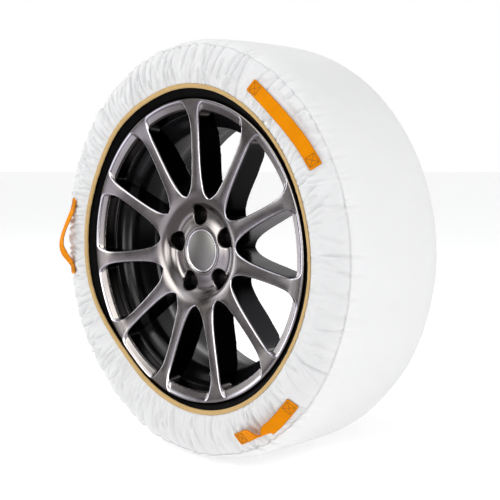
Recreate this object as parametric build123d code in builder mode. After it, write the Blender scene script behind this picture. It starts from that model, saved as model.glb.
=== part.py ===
from build123d import *
import math
import os

# A fabric snow sock fitted on a road wheel with its tyre.
# Frame: millimetres, +Z up.  The wheel axis is Y.  The outboard (street) side
# faces -Y and the vehicle side +Y.  The origin is the centre of the hub
# mounting face, on the wheel axis.

# ---------------------------------------------------------------- dimensions
OFFSET = 40.0              # ET: tyre centre plane inboard of the mounting face

# tyre 235/45 R17 on a 7.5J x 17 rim
TYRE_R = 321.65
BEAD_R = 218.3
FLANGE_R = 235.6
RIM_HALF = 95.25           # half of the rim width between the flanges

# interface to the vehicle hub
HUB_BORE_R = 33.3
HUB_BORE_LEN = 18.0
LIP_BORE_R = 29.5          # lip that the centre cap plugs into
CAP_RECESS_R = 34.0
CAP_RECESS_Y = -33.0
LUG_PCD = 112.0
LUG_COUNT = 5
LUG_R = 7.25
LUG_POCKET_R = 13.5
LUG_SEAT_Y = -9.0
LUG_FIRST = -6.0           # angle of the first lug hole, clockwise from +Z

# spokes
SPOKES = 11
SPOKE_FIRST = 1.6          # angle of the first spoke, clockwise from +Z
HUB_R = 86.0               # radius where the windows start
RING_R = 226.5             # radius where the windows end

# sock
SOCK_R = 324.5
SEAM_R, SEAM_W = 312.8, 97.8
BIND_R = 250.7             # radius of the edge binding
CORD_R = 1.4               # elastic cord inside the binding
STRAP_W = 20.0
STRAP_T = 1.6
SEWN_LEN_DEG = 4.1         # sewn length at each strap end, as an angle

# pull straps: sewn end to sewn end, clockwise from +Z, and radius range
STRAP_1 = (29.6, 62.8)
STRAP_2 = (258.3, 284.0)
STRAP_3 = (131.8, 157.6)

# tyre valve
VALVE_ANGLE = 171.0
VALVE_HOLE_R = 5.65

os.makedirs("parts", exist_ok=True)


def polar(a):
    """Angle clockwise from +Z (seen from -Y) to the angle in Plane.XZ."""
    return 90.0 - a


def e_r(a):
    a = math.radians(a)
    return Vector(math.sin(a), 0, math.cos(a))


def e_t(a):
    a = math.radians(a)
    return Vector(math.cos(a), 0, -math.sin(a))


def front(pts):
    """(radius, distance outboard of the tyre centre plane) to XY points."""
    return [(r, OFFSET - w) for r, w in pts]


def back(pts):
    return [(r, OFFSET + w) for r, w in pts]


def both_sides(outer, inner):
    """Closed ring section from the centre plane out to both sides.
    outer runs from the centre plane to the edge, inner comes back."""
    half = list(outer) + list(inner)
    other = [(r, -w) for r, w in reversed(half) if w != 0.0]
    return [(r, OFFSET - w) for r, w in half] + [(r, OFFSET - w) for r, w in other]


def write(part, name):
    part.label = name
    export_step(part, f"parts/{name}.step")


# ---------------------------------------------------------------- wheel
# hub disc: mounting face, hub bore, cap lip, dished front with a raised crest
HUB_FRONT = [(CAP_RECESS_R, -35.2), (36.0, -36.0), (45.0, -34.0), (58.0, -34.6),
             (68.0, -38.0), (75.0, -44.0), (80.0, -47.6), (HUB_R, -49.5)]
with BuildPart(Plane.XZ) as wheel_hub:
    with BuildSketch(Plane.XY):
        with BuildLine():
            Polyline([(HUB_BORE_R, 0), (HUB_BORE_R, -HUB_BORE_LEN), (LIP_BORE_R, -HUB_BORE_LEN),
                      (LIP_BORE_R, CAP_RECESS_Y), (CAP_RECESS_R, CAP_RECESS_Y)]
                     + HUB_FRONT + [(HUB_R, -5.0), (80.0, -3.0), (76.0, 0)], close=True)
        make_face()
    revolve(axis=Axis.Y)
    with PolarLocations(LUG_PCD / 2, LUG_COUNT, start_angle=polar(LUG_FIRST)):
        Cylinder(LUG_R, 120, mode=Mode.SUBTRACT)
        with Locations((0, 0, -LUG_SEAT_Y)):
            Cone(LUG_R, LUG_POCKET_R, LUG_POCKET_R - LUG_R,
                 align=(Align.CENTER, Align.CENTER, Align.MIN), mode=Mode.SUBTRACT)
        with Locations((0, 0, -LUG_SEAT_Y + LUG_POCKET_R - LUG_R)):
            Cylinder(LUG_POCKET_R, 50, align=(Align.CENTER, Align.CENTER, Align.MIN),
                     mode=Mode.SUBTRACT)
write(wheel_hub.part, "wheel_hub")

# barrel: outboard bead seat end, drop centre and inboard bead seat with its flange
BARREL_OUT = [(217.0, -37.0), (219.2, -31.0), (216.0, -25.5), (201.0, -15.5), (196.0, -7.0),
              (196.0, 29.0), (206.0, 39.0), (211.5, 60.0), (213.0, 104.0), (218.8, 110.0),
              (217.0, 116.0), (218.2, 131.5), (222.0, OFFSET + RIM_HALF),
              (229.0, OFFSET + RIM_HALF), (234.6, 138.0), (FLANGE_R, 141.0),
              (233.5, 144.6), (227.0, 143.4), (216.5, 138.0), (212.0, 134.5)]
BARREL_IN = [(211.5, 113.0), (207.5, 103.0), (206.0, 60.0), (200.5, 41.0), (190.5, 31.5),
             (190.5, -8.5), (194.5, -17.0), (210.5, -27.6), (213.5, -37.0)]

# valve position: through the slope between the bead seat and the drop centre
VALVE_DIR = (e_r(VALVE_ANGLE) * -0.552 + Vector(0, -0.834, 0)).normalized()
VALVE_O = e_r(VALVE_ANGLE) * 205.6 + Vector(0, -21.8, 0)
valve_plane = Plane(origin=VALVE_O, x_dir=e_t(VALVE_ANGLE), z_dir=VALVE_DIR)

with BuildPart() as wheel_barrel:
    with BuildSketch(Plane.XY):
        with BuildLine():
            Polyline(BARREL_OUT + BARREL_IN, close=True)
        make_face()
    revolve(axis=Axis.Y)
    with BuildSketch(valve_plane):
        Circle(VALVE_HOLE_R)
    extrude(amount=16, both=True, mode=Mode.SUBTRACT)
write(wheel_barrel.part, "wheel_barrel")

# front ring: outboard flange with its lip, and the inside band seen in the windows
with BuildPart() as wheel_front_ring:
    with BuildSketch(Plane.XY):
        with BuildLine():
            Polyline([(RING_R, -61.5), (229.5, -64.4), (233.4, -64.0), (FLANGE_R, -60.6),
                      (234.8, -57.6), (229.0, OFFSET - RIM_HALF), (222.0, OFFSET - RIM_HALF),
                      (218.2, -51.8), (217.0, -37.0), (213.5, -37.0), (217.0, -58.5)],
                     close=True)
        make_face()
    revolve(axis=Axis.Y)
write(wheel_front_ring.part, "wheel_front_ring")

# spokes: eleven deep bars that flare into the hub and into the front ring
SPOKE_SIDE = [(80.0, 23.0), (90.0, 17.4), (100.0, 14.4), (120.0, 11.6), (150.0, 10.0),
              (180.0, 9.8), (200.0, 10.6), (212.0, 12.8), (221.0, 17.0), (232.0, 27.0)]
with BuildSketch() as spoke_outline:
    with BuildLine():
        Spline(SPOKE_SIDE)
        Spline([(x, -y) for x, y in SPOKE_SIDE])
        Line(SPOKE_SIDE[0], (SPOKE_SIDE[0][0], -SPOKE_SIDE[0][1]))
        Line(SPOKE_SIDE[-1], (SPOKE_SIDE[-1][0], -SPOKE_SIDE[-1][1]))
    make_face()

SPOKE_FRONT = [(HUB_R, -49.5), (110.0, -52.4), (150.0, -54.4), (190.0, -57.0),
               (212.0, -60.2), (RING_R, -63.2)]
with BuildPart(Plane.XZ) as wheel_spokes:
    with BuildSketch(Plane.XZ):
        with PolarLocations(0, SPOKES, start_angle=polar(SPOKE_FIRST)):
            add(spoke_outline.sketch)
    extrude(amount=90, both=True)
    with BuildSketch(Plane.XY):
        with BuildLine():
            Polyline(SPOKE_FRONT + [(RING_R, -61.5), (217.0, -58.5), (213.5, -37.0),
                                    (210.5, -27.6), (197.0, -18.7), (184.0, -12.0),
                                    (150.0, -7.0), (HUB_R, -5.0)], close=True)
        make_face()
    revolve(axis=Axis.Y, mode=Mode.INTERSECT)
write(wheel_spokes.part, "wheel_spokes")

# centre cap: domed disc with a rim and a skirt of six fingers for the lip bore
CAP_FACE_R = 33.7
FINGER_R = 29.35
with BuildPart(Plane.XZ) as centre_cap:
    with BuildSketch(Plane.XY):
        with BuildLine():
            Polyline((0, -34.2), (26.6, -34.2), (26.6, -20.0), (FINGER_R, -20.0),
                     (FINGER_R, CAP_RECESS_Y - 0.1), (CAP_FACE_R, CAP_RECESS_Y - 0.1),
                     (CAP_FACE_R, -37.6), (CAP_FACE_R - 1.0, -38.6), (CAP_FACE_R - 2.4, -38.4),
                     (24.0, -39.4), (14.0, -40.1), (0, -40.4), close=True)
        make_face()
    revolve(axis=Axis.Y)
    with BuildSketch(Plane.XZ.offset(19.0)):
        with PolarLocations(0, 6):
            with Locations((25.0, 0)):
                Rectangle(16.0, 7.0)
    extrude(amount=14.0, mode=Mode.SUBTRACT)
write(centre_cap.part, "centre_cap")

# wire ring that presses the six fingers outwards
with BuildPart() as cap_spring_ring:
    with BuildSketch(Plane.XY):
        with Locations((25.5, -23.0)):
            Circle(1.05)
    revolve(axis=Axis.Y)
write(cap_spring_ring.part, "cap_spring_ring")

# ---------------------------------------------------------------- valve
# rubber grommet snapped in the barrel hole, brass tube, valve core, pin, spring and cap
with BuildPart() as valve_grommet:
    with BuildSketch(valve_plane.offset(-10.0)):
        Circle(9.0)
    extrude(amount=6.2)
    with BuildSketch(valve_plane.offset(-3.8)):
        Circle(VALVE_HOLE_R - 0.02)
    extrude(amount=7.6)
    with BuildSketch(valve_plane.offset(3.8)):
        Circle(7.6)
    extrude(amount=6.4, taper=12)
    with BuildSketch(valve_plane.offset(10.2)):
        Circle(5.0)
    extrude(amount=4.0, taper=6)
    with BuildSketch(valve_plane.offset(-12.0)):
        Circle(3.85)
    extrude(amount=40.0, mode=Mode.SUBTRACT)
write(valve_grommet.part, "valve_grommet")

with BuildPart() as valve_tube:
    with BuildSketch(valve_plane.offset(-9.4)):
        Circle(3.85)
        Circle(2.4, mode=Mode.SUBTRACT)
    extrude(amount=33.4)
write(valve_tube.part, "valve_tube")

with BuildPart() as valve_core:
    with BuildSketch(valve_plane.offset(4.0)):
        Circle(2.4)
        Circle(1.25, mode=Mode.SUBTRACT)
    extrude(amount=16.5)
write(valve_core.part, "valve_core")

with BuildPart() as valve_spring:
    with BuildSketch(valve_plane.offset(-6.0)):
        Circle(2.3)
        Circle(1.75, mode=Mode.SUBTRACT)
    extrude(amount=9.6)
write(valve_spring.part, "valve_spring")

with BuildPart() as valve_pin:
    with BuildSketch(valve_plane.offset(1.0)):
        Circle(0.9)
    extrude(amount=21.6)
write(valve_pin.part, "valve_pin")

with BuildPart() as valve_cap:
    with BuildSketch(valve_plane.offset(15.2)):
        Circle(5.2)
    extrude(amount=13.0)
    fillet(valve_cap.edges().group_by(SortBy.LENGTH)[-1].sort_by(
        lambda e: (e.center() - VALVE_O).dot(VALVE_DIR))[-1:], radius=1.6)
    with BuildSketch(valve_plane.offset(15.2)):
        Circle(3.92)
    extrude(amount=10.6, mode=Mode.SUBTRACT)
write(valve_cap.part, "valve_cap")

# ---------------------------------------------------------------- tyre
TYRE_SHOULDER = (309.8, 96.6)
BELT_EDGE_W = 86.0
tread_outer = [(TYRE_R, 0.0), (321.4, 40.0), (320.2, 69.0), (317.2, 84.0), TYRE_SHOULDER]
tread_under = [(310.6, BELT_EDGE_W), (311.8, 69.0), (312.2, 0.0)]
belt_under = [(307.6, BELT_EDGE_W), (308.4, 69.0), (308.8, 0.0)]
side_outer = [(298.6, 105.6), (286.2, 111.6), (275.0, 114.0), (262.5, 112.6), (250.0, 107.8),
              (241.0, 103.3), (238.4, 101.6), (236.7, 99.8), (236.1, 97.6)]
bead_outer = [(229.2, 95.15), (222.0, 95.15), (218.5, 91.6), (218.5, 77.5), (221.0, 75.0)]
casing_inner = [(228.0, 81.0), (241.0, 91.2), (256.0, 100.0), (272.0, 104.2), (285.5, 102.3),
                (296.5, 96.5), (302.6, 86.0), (305.2, 69.0), (305.6, 0.0)]
liner_inner = [(228.9, 79.8), (242.0, 90.0), (256.7, 98.5), (272.0, 102.6), (285.0, 100.7),
               (295.4, 94.9), (301.1, 84.8), (303.6, 69.0), (304.0, 0.0)]
core_box = [(222.8, 83.8), (229.0, 83.8), (229.0, 91.2), (222.8, 91.2)]

with BuildPart() as tyre_tread:
    with BuildSketch(Plane.XY):
        with BuildLine():
            Polyline(both_sides(tread_outer, tread_under), close=True)
        make_face()
    revolve(axis=Axis.Y)
    # three circumferential water grooves
    with BuildSketch(Plane.XY):
        for w in (-44.0, 0.0, 44.0):
            with Locations((TYRE_R - 2.6, OFFSET + w)):
                Rectangle(7.6, 9.0)
    revolve(axis=Axis.Y, mode=Mode.SUBTRACT)
write(tyre_tread.part, "tyre_tread")

with BuildPart() as tyre_belts:
    with BuildSketch(Plane.XY):
        with BuildLine():
            Polyline(both_sides(list(reversed(tread_under)), belt_under), close=True)
        make_face()
    revolve(axis=Axis.Y)
write(tyre_belts.part, "tyre_belts")

with BuildPart() as tyre_casing:
    with BuildSketch(Plane.XY):
        with BuildLine():
            Polyline(both_sides(list(reversed(belt_under)) + [tread_under[0], TYRE_SHOULDER]
                                + side_outer + bead_outer, casing_inner), close=True)
        make_face()
        with BuildLine():
            Polyline(front(core_box), close=True)
        make_face(mode=Mode.SUBTRACT)
        with BuildLine():
            Polyline(back(core_box), close=True)
        make_face(mode=Mode.SUBTRACT)
    revolve(axis=Axis.Y)
write(tyre_casing.part, "tyre_casing")

with BuildPart() as tyre_inner_liner:
    with BuildSketch(Plane.XY):
        with BuildLine():
            Polyline(both_sides(list(reversed(casing_inner)), liner_inner), close=True)
        make_face()
    revolve(axis=Axis.Y)
write(tyre_inner_liner.part, "tyre_inner_liner")

for side, name in ((front, "bead_core_front"), (back, "bead_core_back")):
    with BuildPart() as bead_core:
        with BuildSketch(Plane.XY):
            with BuildLine():
                Polyline(side(core_box), close=True)
            make_face()
        revolve(axis=Axis.Y)
    write(bead_core.part, name)

# ---------------------------------------------------------------- sock fabric
band_out = [(SOCK_R, 0.0), (324.3, 40.0), (323.2, 70.0), (320.0, 86.0), (313.9, 96.6)]
band_in = [(312.0, 95.6), (317.8, 84.9), (320.7, 69.5), (321.8, 40.0), (322.0, 0.0)]
panel_out = [(311.4, 99.4), (300.0, 108.5), (287.0, 114.5), (275.0, 117.0), (262.0, 115.5),
             (254.8, 112.5)]
panel_in = [(254.8, 110.8), (262.2, 113.5), (275.0, 115.0), (286.5, 112.6), (299.2, 106.4),
            (309.6, 98.4)]
seam_sec = [(313.9, 96.6), (314.4, 97.4), (313.0, 99.6), (312.0, 100.0), (311.4, 99.4),
            (309.6, 98.4), (312.0, 95.6)]
bind_sec = [(254.8, 110.8), (254.8, 112.5), (254.0, 113.6), (248.6, 111.8), (246.8, 109.4),
            (247.2, 107.3)]
cord_pos = (250.4, 110.3)

with BuildPart() as sock_tread_band:
    with BuildSketch(Plane.XY):
        with BuildLine():
            Polyline(both_sides(band_out, band_in), close=True)
        make_face()
    revolve(axis=Axis.Y)
write(sock_tread_band.part, "sock_tread_band")

for side, s in ((front, "front"), (back, "back")):
    with BuildPart() as panel:
        with BuildSketch(Plane.XY):
            with BuildLine():
                Polyline(side(panel_out + panel_in), close=True)
            make_face()
        revolve(axis=Axis.Y)
    write(panel.part, f"sock_{s}_panel")
    with BuildPart() as seam:
        with BuildSketch(Plane.XY):
            with BuildLine():
                Polyline(side(seam_sec), close=True)
            make_face()
        revolve(axis=Axis.Y)
    write(seam.part, f"{s}_seam")
    with BuildPart() as binding:
        with BuildSketch(Plane.XY):
            with BuildLine():
                Polyline(side(bind_sec), close=True)
            make_face()
            with Locations(side([cord_pos])[0]):
                Circle(CORD_R, mode=Mode.SUBTRACT)
        revolve(axis=Axis.Y)
    write(binding.part, f"{s}_binding")
    with BuildPart() as elastic:
        with BuildSketch(Plane.XY):
            with Locations(side([cord_pos])[0]):
                Circle(CORD_R - 0.05)
        revolve(axis=Axis.Y)
    write(elastic.part, f"{s}_elastic_cord")

# ---------------------------------------------------------------- pull straps
# surface points across each strap's width, on the front panel
LOW_SEAT = [(277.3, 116.52), (287.0, 114.5), (296.4, 110.15)]
HIGH_SEAT = [(288.6, 113.75), (300.0, 108.5), (305.9, 103.8)]


def lifted(seat, gap, thick):
    """Strap section that follows the panel, gap above it."""
    n = []
    for i in range(len(seat)):
        a = seat[max(i - 1, 0)]
        b = seat[min(i + 1, len(seat) - 1)]
        dr, dw = b[0] - a[0], b[1] - a[1]
        d = math.hypot(dr, dw)
        n.append((-dw / d, dr / d))
    low = [(p[0] + q[0] * gap, p[1] + q[1] * gap) for p, q in zip(seat, n)]
    high = [(p[0] + q[0] * (gap + thick), p[1] + q[1] * (gap + thick)) for p, q in zip(seat, n)]
    return low + list(reversed(high))


def turned_plane(a):
    """Plane whose X runs radially at angle a and whose Y is the wheel axis."""
    return Plane(origin=(0, 0, 0), x_dir=e_r(a), z_dir=e_r(a).cross(Vector(0, 1, 0)))


def stitch_plane(seat, a):
    """Plane on top of a sewn strap end at angle a: X across the strap, Y along it."""
    p, q = seat[0], seat[-1]
    mid = seat[1]
    d = math.hypot(q[0] - p[0], q[1] - p[1])
    across = (e_r(a) * (q[0] - p[0]) + Vector(0, -(q[1] - p[1]), 0)) * (1.0 / d)
    out = (e_r(a) * (-(q[1] - p[1])) + Vector(0, -(q[0] - p[0]), 0)) * (1.0 / d)
    o = e_r(a) * mid[0] + Vector(0, OFFSET - mid[1], 0) + out * (STRAP_T + 0.30)
    return Plane(origin=o, x_dir=across, z_dir=out)


straps = {"strap_1": (STRAP_1, LOW_SEAT), "strap_2": (STRAP_2, HIGH_SEAT),
          "strap_3": (STRAP_3, HIGH_SEAT)}
for name, (span, seat) in straps.items():
    with BuildPart() as sewn:
        for a in (span[0], span[1] - SEWN_LEN_DEG):
            with BuildSketch(turned_plane(a)):
                with BuildLine():
                    Polyline(front(lifted(seat, 0.08, STRAP_T)), close=True)
                make_face()
            revolve(axis=Axis.Y, revolution_arc=SEWN_LEN_DEG)
    write(sewn.part, f"{name}_sewn_ends")

# strap 1 lies flat along the panel
with BuildPart() as strap_1_loop:
    with BuildSketch(turned_plane(STRAP_1[0] + SEWN_LEN_DEG + 0.1)):
        with BuildLine():
            Polyline(front(lifted(LOW_SEAT, 0.4, STRAP_T)), close=True)
        make_face()
    revolve(axis=Axis.Y, revolution_arc=STRAP_1[1] - STRAP_1[0] - 2 * SEWN_LEN_DEG - 0.2)
write(strap_1_loop.part, "strap_1_loop")


def arch_loop(span, out, route, centre):
    """Extruded strap arch. route: (along, height) of its underside."""
    a = 0.5 * (span[0] + span[1])
    along = e_t(a)
    o = e_r(a) * centre[0] + Vector(0, OFFSET - centre[1], 0)
    # X of the plane runs along the strap, Y is the direction the arch stands in
    return Plane(origin=o, x_dir=along, z_dir=along.cross(out)), route


def thick_line(route, t):
    up, n = [], len(route)
    for i in range(n):
        a, b = route[max(i - 1, 0)], route[min(i + 1, n - 1)]
        dx, dy = b[0] - a[0], b[1] - a[1]
        d = math.hypot(dx, dy)
        up.append((route[i][0] - dy / d * t, route[i][1] + dx / d * t))
    return list(route) + list(reversed(up))


# strap 2 stands out from the panel as a grip, its bulge a little below the middle
a2 = 0.5 * (STRAP_2[0] + STRAP_2[1])
OUT_2 = (e_r(a2) * 0.50 + Vector(0, -0.866, 0)).normalized()
plane_2, route_2 = arch_loop(STRAP_2, OUT_2, [
    (-45.5, 1.3), (-40.0, 2.6), (-33.0, 9.5), (-26.0, 17.5), (-17.0, 23.0), (-7.0, 25.0),
    (4.0, 23.5), (15.0, 18.5), (25.0, 12.0), (35.0, 5.5), (41.0, 2.4), (45.5, 1.3)],
    (298.6, 109.2))
with BuildPart() as strap_2_loop:
    with BuildSketch(plane_2):
        with BuildLine():
            Polyline(thick_line(route_2, STRAP_T), close=True)
        make_face()
    extrude(amount=STRAP_W / 2, both=True)
write(strap_2_loop.part, "strap_2_loop")

# strap 3 hangs slack, outwards and down
a3 = 0.5 * (STRAP_3[0] + STRAP_3[1])
OUT_3 = (e_r(a3) * 0.62 + Vector(0, -0.785, 0)).normalized()
plane_3, route_3 = arch_loop(STRAP_3, OUT_3, [
    (-45.0, 1.6), (-36.0, 3.2), (-26.0, 7.5), (-15.0, 12.2), (-4.0, 14.6), (8.0, 14.4),
    (19.0, 11.0), (29.0, 6.6), (37.5, 3.0), (45.0, 1.6)],
    (299.2, 109.6))
with BuildPart() as strap_3_loop:
    with BuildSketch(plane_3):
        with BuildLine():
            Polyline(thick_line(route_3, STRAP_T), close=True)
        make_face()
    extrude(amount=STRAP_W / 2, both=True)
write(strap_3_loop.part, "strap_3_loop")

# box-and-cross stitching on the six sewn ends
with BuildPart() as strap_stitching:
    for span, seat in straps.values():
        for a in (span[0] + SEWN_LEN_DEG / 2, span[1] - SEWN_LEN_DEG / 2):
            with BuildSketch(stitch_plane(seat, a)):
                Rectangle(14.0, 14.0)
                Rectangle(12.6, 12.6, mode=Mode.SUBTRACT)
                with Locations(Rotation(0, 0, 45), Rotation(0, 0, -45)):
                    Rectangle(18.2, 0.7)
            extrude(amount=0.35)
write(strap_stitching.part, "strap_stitching")
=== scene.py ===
import bpy
import math
import numpy as np
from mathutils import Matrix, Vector


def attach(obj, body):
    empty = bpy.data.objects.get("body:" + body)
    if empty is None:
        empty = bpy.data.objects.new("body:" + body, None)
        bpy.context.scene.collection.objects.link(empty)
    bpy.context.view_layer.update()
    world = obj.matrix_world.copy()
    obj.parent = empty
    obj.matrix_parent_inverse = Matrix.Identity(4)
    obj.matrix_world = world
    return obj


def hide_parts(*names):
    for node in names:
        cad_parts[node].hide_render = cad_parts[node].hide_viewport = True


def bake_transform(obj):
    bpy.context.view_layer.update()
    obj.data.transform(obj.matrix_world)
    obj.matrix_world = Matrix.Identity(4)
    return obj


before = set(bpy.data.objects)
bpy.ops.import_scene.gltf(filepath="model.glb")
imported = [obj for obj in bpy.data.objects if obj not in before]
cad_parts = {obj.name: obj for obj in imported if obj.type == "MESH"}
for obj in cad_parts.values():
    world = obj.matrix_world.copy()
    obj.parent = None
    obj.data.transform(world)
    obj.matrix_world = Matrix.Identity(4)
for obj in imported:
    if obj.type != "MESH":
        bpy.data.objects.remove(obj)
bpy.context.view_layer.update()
OFFSET = 40.0                     # tyre centre plane, mm inboard of the mounting face
rng = np.random.default_rng(7)

# =====================================================================
# helpers.  Lengths are millimetres until make() turns them into metres.
# =====================================================================


def er(a):
    a = np.radians(a)
    return np.array([math.sin(a), 0.0, math.cos(a)])


def et(a):
    a = np.radians(a)
    return np.array([math.cos(a), 0.0, -math.sin(a)])


def make(name, verts, faces, mat=None, smooth=True, normals=None, attrs=None):
    me = bpy.data.meshes.new(name)
    verts = np.asarray(verts, np.float64) / 1000.0
    faces = np.asarray(faces, np.int32)
    me.vertices.add(len(verts))
    me.vertices.foreach_set("co", verts.astype(np.float32).ravel())
    n, k = faces.shape
    me.loops.add(n * k)
    me.loops.foreach_set("vertex_index", faces.ravel())
    me.polygons.add(n)
    me.polygons.foreach_set("loop_start", np.arange(0, n * k, k, dtype=np.int32))
    me.update(calc_edges=True)
    me.validate()
    me.polygons.foreach_set("use_smooth", np.full(len(me.polygons), smooth))
    for key, val in (attrs or {}).items():
        at = me.attributes.new(key, "FLOAT", "POINT")
        at.data.foreach_set("value", np.asarray(val, np.float32))
    if normals is not None:
        me.normals_split_custom_set_from_vertices([Vector(v) for v in normals])
    if mat is not None:
        me.materials.append(mat)
    ob = bpy.data.objects.new(name, me)
    bpy.context.scene.collection.objects.link(ob)
    return ob


def grid_faces(nu, nv, wrap_u=True, wrap_v=False, flip=False):
    iu = np.arange(nu if wrap_u else nu - 1)
    iv = np.arange(nv if wrap_v else nv - 1)
    u, v = np.meshgrid(iu, iv, indexing="ij")
    u2, v2 = (u + 1) % nu, (v + 1) % nv
    f = np.stack([u * nv + v, u2 * nv + v, u2 * nv + v2, u * nv + v2], -1).reshape(-1, 4)
    return f[:, ::-1] if flip else f


def smooth_curve(pts, step):
    """Points every step along a centripetal Catmull-Rom curve through pts."""
    p = np.asarray(pts, float)
    out = []
    for i in range(len(p) - 1):
        a = p[max(i - 1, 0)]
        b, c = p[i], p[i + 1]
        d = p[min(i + 2, len(p) - 1)]
        if i == 0:
            a = 2 * b - c
        if i == len(p) - 2:
            d = 2 * c - b
        t1 = max(np.linalg.norm(b - a) ** 0.5, 1e-6)
        t2 = t1 + max(np.linalg.norm(c - b) ** 0.5, 1e-6)
        t3 = t2 + max(np.linalg.norm(d - c) ** 0.5, 1e-6)
        n = max(2, int(math.ceil(np.linalg.norm(c - b) / step)))
        for t in np.linspace(t1, t2, n, endpoint=False):
            A1 = (t1 - t) / t1 * a + t / t1 * b
            A2 = (t2 - t) / (t2 - t1) * b + (t - t1) / (t2 - t1) * c
            A3 = (t3 - t) / (t3 - t2) * c + (t - t2) / (t3 - t2) * d
            B1 = (t2 - t) / t2 * A1 + t / t2 * A2
            B2 = (t3 - t) / (t3 - t1) * A2 + (t - t1) / (t3 - t1) * A3
            out.append((t2 - t) / (t2 - t1) * B1 + (t - t1) / (t2 - t1) * B2)
    out.append(p[-1])
    return np.array(out)


def lathe(name, prof, n=360, mat=None, closed=True, flip=False):
    """Turns (r, y) points round the wheel axis."""
    prof = np.asarray(prof, float)
    a = np.linspace(0, 2 * np.pi, n, endpoint=False)
    r, y = prof[:, 0], prof[:, 1]
    v = np.stack([r[None] * np.sin(a)[:, None], np.broadcast_to(y, (n, len(y))),
                  r[None] * np.cos(a)[:, None]], -1).reshape(-1, 3)
    return make(name, v, grid_faces(n, len(r), True, closed, flip), mat)


def sstep(a, b, x):
    t = np.clip((x - a) / (b - a), 0, 1)
    return t * t * (3 - 2 * t)


def smax(a, b, k):
    h = np.clip(0.5 + 0.5 * (a - b) / k, 0, 1)
    return b + (a - b) * h + k * h * (1 - h)


def smin(a, b, k):
    return -smax(-a, -b, k)


# =====================================================================
# materials
# =====================================================================


def new_mat(name):
    m = bpy.data.materials.new(name)
    m.use_nodes = True
    nt = m.node_tree
    bsdf = nt.nodes["Principled BSDF"]
    return m, nt, bsdf


def node(nt, kind, **inputs):
    n = nt.nodes.new(kind)
    for k, v in inputs.items():
        if k in ("operation", "blend_type", "data_type", "attribute_name", "feature", "distance",
                 "wave_type", "bands_direction", "interpolation_type", "noise_dimensions",
                 "clamp", "use_clamp", "invert"):
            setattr(n, k, v)
    return n


def math_node(nt, op, a, b=None, clamp=False):
    n = nt.nodes.new("ShaderNodeMath")
    n.operation = op
    n.use_clamp = clamp
    for i, x in enumerate((a, b)):
        if x is None:
            continue
        if isinstance(x, (int, float)):
            n.inputs[i].default_value = x
        else:
            nt.links.new(x, n.inputs[i])
    return n.outputs[0]


def mix_color(nt, fac, a, b):
    n = nt.nodes.new("ShaderNodeMix")
    n.data_type = "RGBA"
    if isinstance(fac, (int, float)):
        n.inputs[0].default_value = fac
    else:
        nt.links.new(fac, n.inputs[0])
    for s, x in ((6, a), (7, b)):
        if isinstance(x, tuple):
            n.inputs[s].default_value = (*x[:3], 1.0)
        else:
            nt.links.new(x, n.inputs[s])
    return n.outputs[2]


def noise(nt, scale, detail=2.0, rough=0.5, vec=None, dist=0.0):
    n = nt.nodes.new("ShaderNodeTexNoise")
    n.inputs["Scale"].default_value = scale
    n.inputs["Detail"].default_value = detail
    n.inputs["Roughness"].default_value = rough
    n.inputs["Distortion"].default_value = dist
    if vec is not None:
        nt.links.new(vec, n.inputs["Vector"])
    return n.outputs["Fac"]


def coords(nt):
    return nt.nodes.new("ShaderNodeTexCoord").outputs["Object"]


def remap(nt, x, lo, hi, a, b):
    n = nt.nodes.new("ShaderNodeMapRange")
    n.inputs["From Min"].default_value = lo
    n.inputs["From Max"].default_value = hi
    n.inputs["To Min"].default_value = a
    n.inputs["To Max"].default_value = b
    nt.links.new(x, n.inputs["Value"])
    return n.outputs["Result"]


def bump(nt, bsdf, height, strength, distance):
    n = nt.nodes.new("ShaderNodeBump")
    n.inputs["Strength"].default_value = strength
    n.inputs["Distance"].default_value = distance
    nt.links.new(height, n.inputs["Height"])
    nt.links.new(n.outputs["Normal"], bsdf.inputs["Normal"])
    return n


def attr(nt, name):
    n = nt.nodes.new("ShaderNodeAttribute")
    n.attribute_name = name
    return n.outputs["Fac"]


def polar_coords(nt):
    """Arc length round the wheel axis, distance along it and radius, in metres."""
    sep = nt.nodes.new("ShaderNodeSeparateXYZ")
    nt.links.new(coords(nt), sep.inputs[0])
    x, y, z = sep.outputs
    ang = math_node(nt, "ARCTAN2", x, z)
    rad = math_node(nt, "SQRT", math_node(nt, "ADD", math_node(nt, "MULTIPLY", x, x),
                                          math_node(nt, "MULTIPLY", z, z)))
    return ang, rad, y


def wave(nt, x, freq):
    """0..1 sine of x, freq in cycles per unit."""
    s = math_node(nt, "SINE", math_node(nt, "MULTIPLY", x, freq * 2 * math.pi))
    return math_node(nt, "MULTIPLY_ADD", s, 0.5) if False else math_node(
        nt, "ADD", math_node(nt, "MULTIPLY", s, 0.5), 0.5)


# wheel casting: dark chrome front, gloss black window walls and back, with painted highlight on the window edges and
# painted shadow and shade in part of the black
m_wheel, nt, b = new_mat("dark_chrome")
c = coords(nt)
cloud = noise(nt, 7.0, 3.0, 0.55, c)
fleck = noise(nt, 900.0, 2.0, 0.6, c)
base = mix_color(nt, remap(nt, cloud, 0.35, 0.65, 0, 1), (0.108, 0.097, 0.090), (0.146, 0.136, 0.136))
base = mix_color(nt, remap(nt, fleck, 0.45, 0.75, 0, 0.25), base, (0.24, 0.235, 0.24))
# painted highlight: the edge attribute lightens the colour along the window edges and along the ring's inner edge
base = mix_color(nt, attr(nt, "edge"), base, (0.50, 0.49, 0.53))
# black paint on the window walls and back; the same attribute also darkens the ring's inner wall part way, and holds
# painted shadow at the lip's step and painted shade in the lug pockets
base = mix_color(nt, attr(nt, "black"), base, (0.006, 0.006, 0.007))
nt.links.new(base, b.inputs["Base Color"])
b.inputs["Metallic"].default_value = 1.0
rough = remap(nt, noise(nt, 40.0, 4.0, 0.6, c), 0.3, 0.7, 0.20, 0.27)
nt.links.new(rough, b.inputs["Roughness"])
bump(nt, b, noise(nt, 260.0, 3.0, 0.5, c), 0.02, 0.001)

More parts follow.
